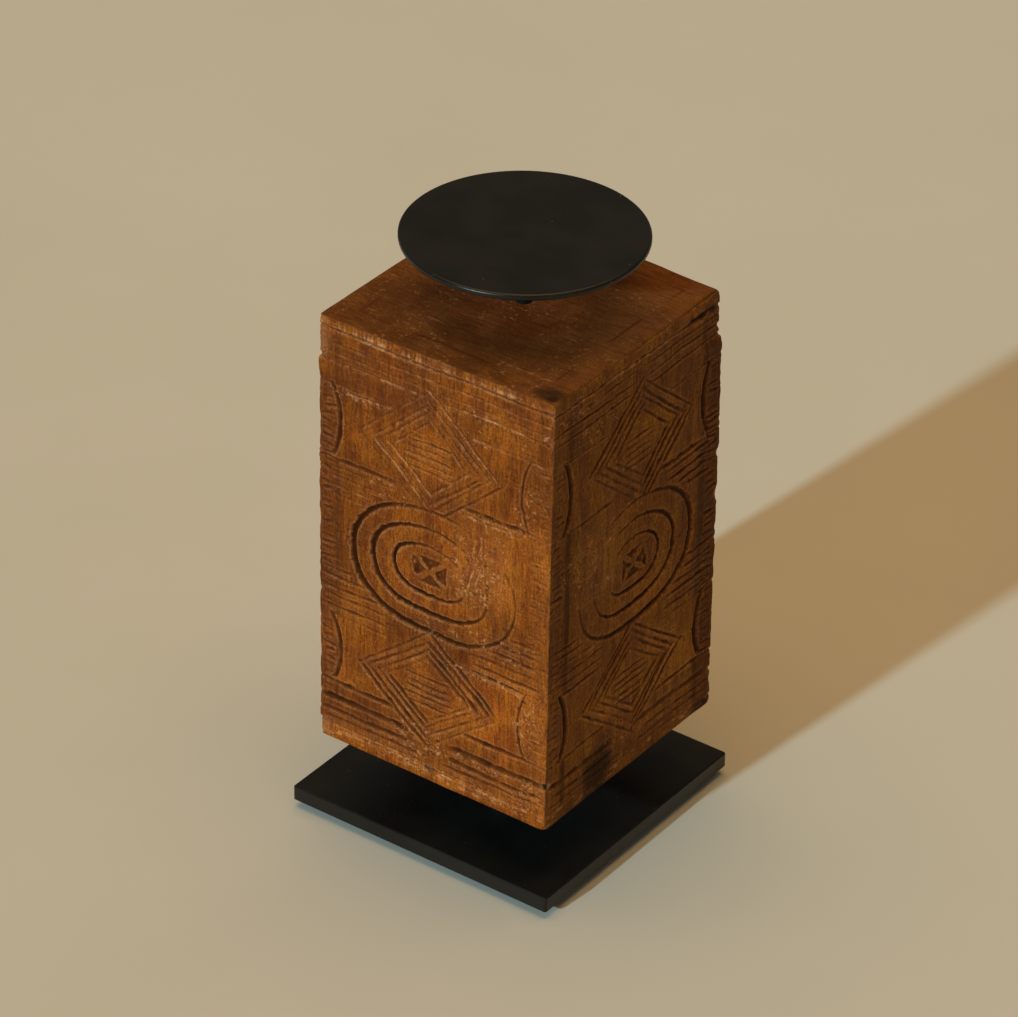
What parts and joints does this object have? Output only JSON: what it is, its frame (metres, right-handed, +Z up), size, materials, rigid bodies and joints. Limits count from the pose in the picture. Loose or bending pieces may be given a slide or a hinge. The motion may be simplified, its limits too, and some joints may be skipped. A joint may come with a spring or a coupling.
{
  "type": "carved block stand",
  "caption": "Hand-carved square hardwood block held off a square metal base plate, with a round metal rest plate on a thin stem above it.",
  "frame": {"origin": "on the floor under the centre of the base plate, at the feet's undersides", "axes": "+Z up along the stem, -Y towards the face that is lit in the reference view, +X towards the face on its right"},
  "size_m": [0.132, 0.132, 0.2733],
  "materials": {
    "block_wood": "hand-carved, oiled and worn",
    "black_metal": "satin black powder coat",
    "bare_steel": "zinc-plated fasteners",
    "foot_rubber": "matte"
  },
  "bodies": {
    "root": {"base_plate": "black_metal", "foot_front_left": "foot_rubber", "foot_front_right": "foot_rubber", "foot_back_left": "foot_rubber", "foot_back_right": "foot_rubber", "base_bolt": "bare_steel", "riser_post": "black_metal", "riser_flange": "black_metal", "flange_screws": "bare_steel", "carved_block": "block_wood", "stem_rod": "black_metal", "jam_nut": "black_metal", "disc_hub": "black_metal", "top_disc": "black_metal"}
  },
  "joints": []
}
